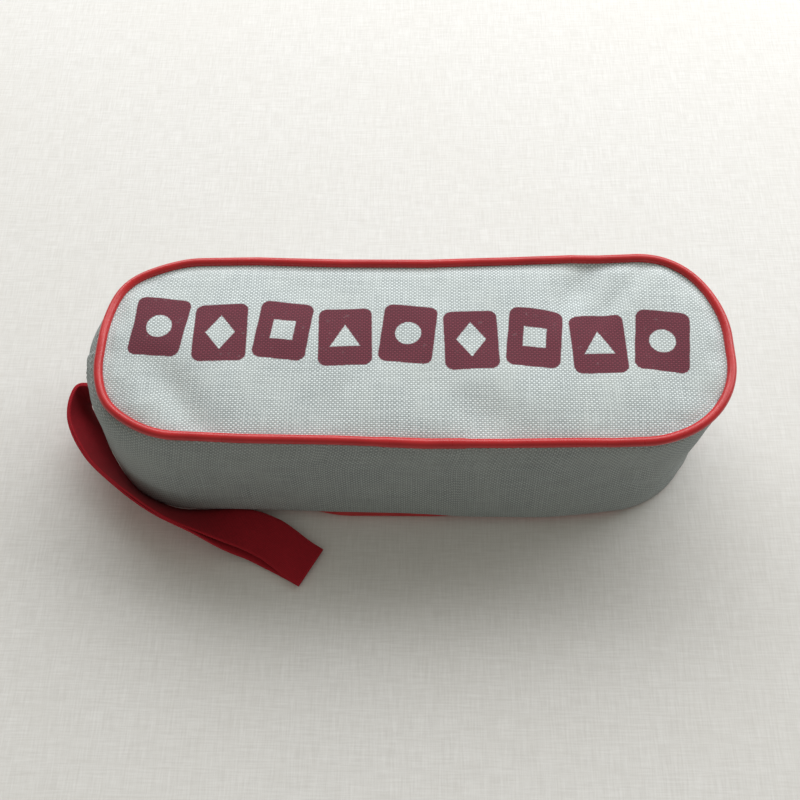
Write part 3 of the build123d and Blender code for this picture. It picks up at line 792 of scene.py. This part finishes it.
def stitches(name, rows):
    """One mesh of stitches along rows of (runs, heights, lift, level); level rows run round the wall."""
    sides = 6
    near = 0.6
    verts = []
    uv = []
    faces = []
    for runs, heights, lift, level in rows:
        runs, heights = np.broadcast_arrays(np.asarray(runs, float), np.asarray(heights, float))
        lift = np.asarray(lift(runs, heights) if callable(lift) else lift, float)
        middle = wall_point(runs, heights, lift + 0.12)
        ahead = unit(wall_point(runs + near, heights, lift) - wall_point(runs - near, heights, lift))
        rise = unit(wall_point(runs, heights + near, lift) - wall_point(runs, heights - near, lift))
        out = np.cross(ahead, rise)
        line, side = (ahead, rise) if level else (rise, ahead)
        for m, d, w, o in zip(middle, line, side, out):
            start = len(verts)
            for t, fat, deep in STITCH_RINGS:
                for k in range(1 if fat == 0 else sides):
                    a = 2 * math.pi * k / sides
                    spoke = w * math.cos(a) + o * math.sin(a) * 0.7
                    verts.append(m + d * t * STITCH_LENGTH / 2 + spoke * fat * STITCH_WIDTH / 2 + o * deep)
                    uv.append((t * STITCH_LENGTH, k * 0.3))
            body = start + 1
            tip = body + 4 * sides
            for k in range(sides):
                after = (k + 1) % sides
                faces.append((start, body + after, body + k))
                for r in range(3):
                    a = body + r * sides
                    faces.append((a + k, a + after, a + sides + after, a + sides + k))
                faces.append((tip, body + 3 * sides + k, body + 3 * sides + after))
    return finish_piece(weld(new_object(name, np.array(verts), faces, np.array(uv))), thread)


def spaced(first, last):
    """Middles of the stitches between two places."""
    return np.arange(first, last, STITCH_PITCH)


seam_runs = (front_first + SEAM_ROWS[0], front_first + SEAM_ROWS[1],
             front_last - SEAM_ROWS[0], front_last - SEAM_ROWS[1])
front_rows = [(spaced(front_first + 1.5, front_last - 1.0), STITCH_HIGH, lapped, True)]
front_rows += [(run, spaced(9.0, 54.0), lapped, False) for run in seam_runs]
front_stitches = stitches("front_gusset_stitching", front_rows)
window_runs = spaced(FOLD_Y + 2.0, RUN_LEFT_MIDDLE - FOLD_Y - 1.0)
low_stitches = stitches("rear_lower_stitching", [(window_runs, ZIP_Z - WINDOW - 2.0, 0.0, True)])
high_stitches = stitches("rear_upper_stitching", [(window_runs, ZIP_Z + WINDOW + 2.0, 0.0, True),
                                                   (window_runs, STITCH_HIGH, 0.0, True)])


# Tabs of gusset cloth that close the window past the last teeth
def turned_in(zip_side):
    """The tab's edge beside the zip turns in as far as the tape."""
    return lambda run, z: -(wall_out(run, z) + 0.3) * smooth(1.8, 0.0, np.abs(run - zip_side))


TAB_WIDTH = 11.0
TAB_HEIGHTS = np.linspace(30.0, 47.8, 13)
end_tabs = []
for name, first, zip_side in (("zip_end_tab_left", RUN_LEFT_MIDDLE - FOLD_Y, RUN_LEFT_MIDDLE - FOLD_Y),
                              ("zip_end_tab_right", FOLD_Y - TAB_WIDTH, FOLD_Y)):
    tab = wall_sheet(name, first, first + TAB_WIDTH, TAB_HEIGHTS, out=-1.0, step=0.6, thickness=0.6,
                     edge=turned_in(zip_side))
    end_tabs.append(finish_piece(tab, gusset_cloth))

# Zip tapes behind the window, where the frame's teeth are
teeth_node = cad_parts["zip_teeth_lower"]
teeth_points = np.array([teeth_node.matrix_world @ v.co for v in teeth_node.data.vertices]) / MM
TEETH_END = {side: teeth_points[teeth_points[:, 0] * side > 0, 1].min() for side in (-1, 1)}


def tape_sheet(name, low_z, high_z, closing=0.0):
    """One zip tape; past the last teeth its upper edge rises by closing, up to the other tape."""
    columns = 200
    inward = 1.0
    runs = np.linspace(FOLD_Y - 2.5, RUN_LEFT_MIDDLE + 3.0, columns)
    p, n = ring(runs)
    heights = np.linspace(low_z, high_z, 7)
    ends = np.where(p[:, 0] > 0, TEETH_END[1], TEETH_END[-1])
    rise = closing * smooth(ends - 0.2, ends - 1.2, p[:, 1])
    rows = []
    for z in heights:
        level = z + rise * (z - low_z) / (high_z - low_z)
        rows.append(np.concatenate([p - n * inward, level[:, None]], -1))
    uv = np.stack(np.meshgrid(runs, heights), -1).reshape(-1, 2)
    obj = new_object(name, np.array(rows).reshape(-1, 3), grid_faces(len(heights), columns), uv)
    return solidify(obj, 0.5)


tape_low = tape_sheet("zip_tape_lower_cloth", 28.5, 41.1, closing=1.7)
tape_high = tape_sheet("zip_tape_upper_cloth", 42.9, 53.1)
for tape, node in ((tape_low, "zip_tape_lower"), (tape_high, "zip_tape_upper")):
    finish_piece(tape, tape_cloth)
    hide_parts(node)

# Piping; its ends overlap at the front
RING_COUNT = 520
ring_runs = np.arange(RING_COUNT) / RING_COUNT * ROUND
ring_points, ring_normals = ring(ring_runs)
ring_x, ring_y = ring_points[:, 0], ring_points[:, 1]


def at_height(points, z):
    """Points in plan, put at one height."""
    return np.concatenate([points, np.full((len(points), 1), z)], -1)


top_line = cloth_shape(at_height(ring_points, TOP_Z))
overlap = smooth(-14, -11, ring_x) * (1 - smooth(20, 23, ring_x)) * (ring_y < 0)
top_cord = tube("top_piping", top_line, CORD_R - 0.1 + 0.22 * overlap)
finish_piece(top_cord, red_vinyl)
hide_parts("top_piping_front", "top_piping_flap")

foot = wall_out(ring_runs, np.full(RING_COUNT, 3.0))
in_front = 1 - smooth(-20, 14, ring_y)
low_out = (foot - 2.5) * in_front
shown = hem_window(ring_x) * in_front
low_out = low_out + (4.5 - low_out) * shown
kernel = np.hanning(23)
low_out = np.convolve(np.tile(low_out, 3), kernel / kernel.sum(), "same")[RING_COUNT:2 * RING_COUNT]
low_line = ring_points + ring_normals * low_out[:, None]
low_cord = tube("base_piping", at_height(low_line, LOW_Z), CORD_R - 0.1)
finish_piece(low_cord, red_vinyl)
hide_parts("bottom_piping")


# Base
def build_base():
    """The base panel, which follows the base piping and turns up inside it."""
    steps = np.linspace(0, 1, 16)
    edge_rows = ((-2.3, 3.5, 2.0), (-2.6, 6.5, 5.0))
    rows, flat = disc_rows(steps, -1.6, lambda x, y, t: 0.25 + 0.8 * t ** 6, edge_rows)
    shift = np.interp(DISC_RUNS, ring_runs, low_out)
    normals = ring(DISC_RUNS)[1]
    share = np.concatenate([steps ** 2, [1, 1]])
    rows[..., :2] += share[:, None, None] * normals[None] * shift[None, :, None]
    return solidify(disc_object("base_cloth", rows, flat, -1), 0.6)


base = build_base()
finish_piece(base, base_cloth)
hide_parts("bottom_panel")

# Upper row of teeth, copied as a piece of its own
upper_teeth = bpy.data.objects.new("zip_teeth_upper_row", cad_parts["zip_teeth_upper"].data.copy())
bpy.context.scene.collection.objects.link(upper_teeth)
finish_piece(upper_teeth, teeth_plastic)
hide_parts("zip_teeth_upper")


# Wrist strap
def spline(points, count):
    """Catmull-Rom through the points, sampled evenly by parameter."""
    points = np.asarray(points, float)
    padded = np.vstack([2 * points[0] - points[1], points, 2 * points[-1] - points[-2]])
    out = []
    for t in np.linspace(0, len(points) - 1 - 1e-9, count):
        i = int(t)
        f = t - i
        a, b, c, d = padded[i], padded[i + 1], padded[i + 2], padded[i + 3]
        out.append(0.5 * ((2 * b) + (c - a) * f + (2 * a - 5 * b + 4 * c - d) * f ** 2
                          + (3 * b - a - 3 * c + d) * f ** 3))
    return np.array(out)


STRAP_WIDTH = 19.0
LAYER = 0.85
# Middle of the webbing, its heading in plan, its dip and its lean from upright, as in the frame
STRAP_WAY = [
    (-131.4, 3.2, 15.2, 180, 0, 0), (-140.0, 3.2, 15.3, 184, -1, 0),
    (-147.4, 2.5, 15.4, 223, -5, 0), (-145.7, -10.3, 14.0, 289, -7, -29),
    (-137.2, -26.5, 11.9, 306, -5, -25), (-123.4, -41.3, 11.1, 321, -2, -15),
    (-106.1, -51.5, 10.4, 337, -4, -24), (-90.0, -55.6, 8.4, 348, -9, -46),
    (-81.3, -57.0, 6.3, 351, -12, -63), (-73.5, -58.2, 4.5, 349, -10, -78),
    (-66.5, -59.8, 3.3, 343, -7, -87), (-59.9, -62.4, 2.5, 335, -3, -92),
    (-53.6, -65.8, 2.1, 331, -1, -93), (-47.4, -69.5, 1.95, 329, 0, -93),
    (-41.1, -73.2, 1.95, 329, 0, -93),
]
# How far the lower edge is tucked in toward the wall, at the places from TUCK_FIRST on
TUCK = np.array([0.8, 1.8, 2.2, 1.8, 0.8])
TUCK_FIRST = 3


def build_strap():
    """Two layers of webbing from the seam to the fold at the far end and back."""
    count, fine_count = 190, 1200
    way = np.array(STRAP_WAY, float)
    heading, dip, tilt = np.radians(way[:, 3]), np.radians(way[:, 4]), np.radians(way[:, 5])
    level = np.stack([np.cos(heading), np.sin(heading), heading * 0], -1)
    left = np.stack([-np.sin(heading), np.cos(heading), heading * 0], -1)
    ahead = level * np.cos(dip)[:, None] + np.array([0, 0, 1.0]) * np.sin(dip)[:, None]
    width = np.cross(ahead, left) * np.cos(tilt)[:, None] + left * np.sin(tilt)[:, None]
    high = spline(way[:, :3] + width * STRAP_WIDTH / 2, fine_count)
    foot = way[:, :3] - width * STRAP_WIDTH / 2
    tucked = slice(TUCK_FIRST, TUCK_FIRST + len(TUCK))
    foot[tucked] += left[tucked] * TUCK[:, None]
    low = spline(foot, fine_count)
    middle = (high + low) / 2
    run = run_along(middle)
    at = np.linspace(0, run[-1], count)
    high, low, middle = (np.stack([np.interp(at, run, q[:, i]) for i in range(3)], -1)
                         for q in (high, low, middle))
    width = unit(high - low)
    along = unit(np.gradient(middle, axis=0))
    face = unit(np.cross(along, width))
    for _ in range(3):
        face[1:-1] = (face[:-2] + face[1:-1] * 2 + face[2:]) / 4
    across = np.linspace(-0.5, 0.5, 17)
    spread = (across * STRAP_WIDTH)[:, None]
    q = np.arange(count) / (count - 1)
    # The under layer slips out to the front, and the top one lifts off it a little before the fold
    open_up = smooth(0.60, 0.80, q) * (1 - smooth(0.86, 0.99, q))
    root = 1 - smooth(0.0, 0.06, q)
    half_gap = LAYER / 2 + 0.05
    rows = []
    for side, order in ((1, range(count)), (-1, range(count - 1, -1, -1))):
        for i in order:
            gap = half_gap + (0.0 if side > 0 else 1.5) * open_up[i]
            slip = width[i] * (1.0 if side > 0 else -1.5) * open_up[i]
            centre = middle[i] + face[i] * side * gap + slip
            cup = 0.35 * (1 - root[i]) * (across * 2) ** 2 * (0.3 + 0.7 * open_up[i])
            wave = 0.12 * np.sin(at[i] / 6.3 + side)
            rows.append(centre + width[i] * spread + face[i] * (cup * 0.5 + wave)[:, None])
        if side > 0:
            for a in np.radians(np.linspace(60, -60, 5)):
                turned = middle[-1] + along[-1] * half_gap * 1.1 * np.cos(a) + face[-1] * half_gap * np.sin(a)
                rows.append(turned + width[-1] * spread)
    rows = np.array(rows)
    rows[..., 2] = np.maximum(rows[..., 2], LAYER / 2 + 0.03)
    steps = run_along(rows[:, len(across) // 2])
    uv = np.stack(np.broadcast_arrays(steps[:, None], spread.T), -1)
    faces = grid_faces(len(rows), len(across))
    obj = new_object("wrist_strap_webbing", rows.reshape(-1, 3), faces, uv.reshape(-1, 2))
    return solidify(obj, LAYER, 0.0, even=False)


strap = build_strap()
finish_piece(strap, strap_cloth)
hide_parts("wrist_strap")

# Figures printed on the tiles: 1 to 13 over a small ring, and a star on the jokers
TILE_COUNT = 106
FIRST_JOKER = 104
TILE_FLOOR, TILE_THICKNESS = 33.8, 5.0
TILE_TOP = TILE_FLOOR + TILE_THICKNESS
LAYER_RISE = 5.1
COLUMN_PITCH, ROW_PITCH = 27.4, 19.4
tile_spots = []
for layer in range(4):
    for row in range(4):
        tile_spots += [((column - 3) * COLUMN_PITCH, (row - 1.5) * ROW_PITCH, layer) for column in range(7)]
    if layer < 3:
        tile_spots += [(end * 4 * COLUMN_PITCH, row * ROW_PITCH, layer)
                       for end in (-1, 1) for row in (-0.5, 0.5)]
tile_spots = tile_spots[:TILE_COUNT]


def figure_mesh(text, size):
    """Corners and faces of a short text, flat and centred."""
    curve = bpy.data.curves.new("figure", "FONT")
    curve.body = text
    curve.size = size
    curve.align_x = "CENTER"
    curve.align_y = "CENTER"
    curve.resolution_u = 3
    obj = bpy.data.objects.new("figure", curve)
    bpy.context.scene.collection.objects.link(obj)
    bpy.context.view_layer.update()
    mesh = bpy.data.meshes.new_from_object(obj.evaluated_get(bpy.context.evaluated_depsgraph_get()))
    verts = np.array([v.co[:2] for v in mesh.vertices])
    faces = [tuple(p.vertices) for p in mesh.polygons]
    bpy.data.objects.remove(obj)
    bpy.data.curves.remove(curve)
    bpy.data.meshes.remove(mesh)
    return verts, faces


def star_mesh(outer, inner):
    """Corners and faces of a five-pointed star."""
    points = 5
    verts = [(0.0, 0.0)]
    for k in range(points * 2):
        r = inner if k % 2 else outer
        verts.append((r * math.sin(math.pi * k / points), r * math.cos(math.pi * k / points)))
    faces = [(0, 1 + (k + 1) % (points * 2), 1 + k) for k in range(points * 2)]
    return np.array(verts), faces


def ring_mesh(outer, inner):
    """Corners and faces of a flat ring."""
    sides = 20
    a = np.arange(sides) / sides * 2 * math.pi
    circle = np.stack([np.cos(a), np.sin(a)], -1)
    faces = [(k, (k + 1) % sides, sides + (k + 1) % sides, sides + k) for k in range(sides)]
    return np.concatenate([circle * outer, circle * inner]), faces


def print_on_tiles(name, numbers, material):
    """One mesh with the figures of the numbered tiles, placed as the frame packs the tiles."""
    verts = []
    faces = []
    for number in numbers:
        x, y, layer = tile_spots[number * 37 % TILE_COUNT]
        z = TILE_TOP + layer * LAYER_RISE + 0.05
        up = 1.0 if number % 3 else -1.0
        if number >= FIRST_JOKER:
            marks = [(star_mesh(5.0, 2.1), 2.5), (ring_mesh(2.1, 1.5), -8.0)]
        else:
            marks = [(figures[number % 13 + 1], 4.2), (ring_mesh(2.2, 1.55), -7.0)]
        for (points, cells), shift in marks:
            start = len(verts)
            for a, b in points:
                verts.append((x + up * (b + shift), y - up * a, z))
            faces += [tuple(start + i for i in cell) for cell in cells]
    obj = new_object(name, np.array(verts), faces, smooth_faces=False)
    return finish_piece(obj, material)


figures = {number: figure_mesh(str(number), 11.0) for number in range(1, 14)}
numerals = []
INKS = (("black", (0.02, 0.02, 0.025)), ("red", (0.55, 0.02, 0.02)),
        ("blue", (0.02, 0.09, 0.42)), ("orange", (0.75, 0.22, 0.02)))
for place, (name, colour) in enumerate(INKS):
    numbers = [*range(place * 13, place * 13 + 13), *range(52 + place * 13, 65 + place * 13)]
    ink = plastic("tile_ink_" + name, colour, 0.4, 0.0, 0.1)
    numerals.append(print_on_tiles("tile_figures_" + name, numbers, ink))
red_ink = bpy.data.materials["tile_ink_red"]
numerals.append(print_on_tiles("tile_figures_joker", range(FIRST_JOKER, TILE_COUNT), red_ink))

# CAD pieces that stay, with their materials
CAD_MATERIALS = {"tiles_": ivory, "rack": rack_blue, "zip_teeth": teeth_plastic, "zip_bottom_stop": zip_steel,
                 "zip_top_stop": zip_steel, "zip_slider": slider_metal, "pull_tab": slider_metal}
for name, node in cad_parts.items():
    for start, material in CAD_MATERIALS.items():
        if name.startswith(start):
            node.data.materials.clear()
            node.data.materials.append(material)

# Bodies; the lid's pieces ride on no body, with their placing baked into their meshes
for piece in (gusset, band_low, tape_low, low_cord, base, *end_tabs, front_stitches, low_stitches, *numerals):
    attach(piece, "bag")
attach(strap, "strap")
for piece in (top_cloth, top_cord, band_high, tape_high, upper_teeth, high_stitches):
    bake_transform(piece)

# Floor, light and camera
stage = Nodes("table_top")
place_x, place_y, _ = stage.split(stage.position())


def threads(along_x, along_y):
    """Noise stretched along one way of the table cloth."""
    stretched = stage.join(stage.mul(place_x, along_x), stage.mul(place_y, along_y))
    return stage.noise(stretched, 1.0, 3.0, 0.6)


linen = stage.add(threads(90.0, 1300.0), threads(1300.0, 90.0))
streaks = stage.add(threads(30.0, 420.0), threads(420.0, 30.0))
patches = stage.noise(stage.position(), 9.0, 4.0)
pale = stage.mix(stage.ramp(linen, 0.75, 1.25), rgba(0.725, 0.715, 0.70), rgba(0.835, 0.83, 0.82))
pale = stage.mix(stage.mul(stage.ramp(streaks, 0.9, 1.25), 0.22), pale, rgba(0.68, 0.665, 0.63))
pale = stage.mix(stage.mul(stage.ramp(patches, 0.4, 0.7), 0.2), pale, rgba(0.73, 0.71, 0.67))
stage.set("Base Color", pale)
stage.set("Roughness", 0.7)
stage.set("Specular IOR Level", 0.2)
stage.set("Normal", stage.bump(linen, 0.12, 0.3))
bpy.ops.mesh.primitive_plane_add(size=6, location=(0, 0, -0.0002))
floor = bpy.context.object
floor.name = "table_top"
floor.data.materials.append(stage.material)

world = bpy.data.worlds.new("studio")
bpy.context.scene.world = world
world.use_nodes = True
sky = world.node_tree.nodes["Background"].inputs
sky["Color"].default_value = rgba(1.0, 0.98, 0.86)
sky["Strength"].default_value = 0.30


def area_light(name, place, target, size, power):
    """A white oblong lamp that faces the target."""
    data = bpy.data.lights.new(name, "AREA")
    data.shape = "RECTANGLE"
    data.size, data.size_y = size
    data.energy = power
    light = bpy.data.objects.new(name, data)
    bpy.context.scene.collection.objects.link(light)
    light.location = place
    light.rotation_euler = (Vector(target) - Vector(place)).to_track_quat("-Z", "Y").to_euler()


area_light("window", (0.25, 0.9, 0.82), (0, 0.0, 0), (3.0, 0.7), 29.5)

# Camera fitted to the photo: distance and shifts in millimetres, focal length in the picture's pixels
ELEVATION, YAW, ROLL = math.radians(61.58), math.radians(-3.35), math.radians(-2.75)
DISTANCE, SHIFT_X, SHIFT_Y, FOCAL = 488.1, 6.37, -6.5, 1050.0
PICTURE = 800
SENSOR = 36
view_back = Vector((0, -math.cos(ELEVATION), math.sin(ELEVATION)))
view_up = Vector((0, math.sin(ELEVATION), math.cos(ELEVATION)))
view_right = Vector((1, 0, 0))
turn = Matrix.Rotation(-YAW, 3, "Z")
aim = Vector((*TOP_SHIFT, 0))
place = turn @ (view_back * DISTANCE - view_right * SHIFT_X - view_up * SHIFT_Y) + aim
cam_x = turn @ (view_right * math.cos(ROLL) + view_up * math.sin(ROLL))
cam_y = turn @ (view_up * math.cos(ROLL) - view_right * math.sin(ROLL))
cam_z = turn @ view_back
camera_data = bpy.data.cameras.new("camera")
camera_data.sensor_width = SENSOR
camera_data.lens = FOCAL / PICTURE * SENSOR
camera_data.clip_start = 0.01
camera = bpy.data.objects.new("camera", camera_data)
bpy.context.scene.collection.objects.link(camera)
camera.matrix_world = Matrix.Translation(place * MM) @ Matrix((cam_x, cam_y, cam_z)).transposed().to_4x4()
bpy.context.scene.camera = camera
bpy.context.scene.view_settings.view_transform = "Standard"
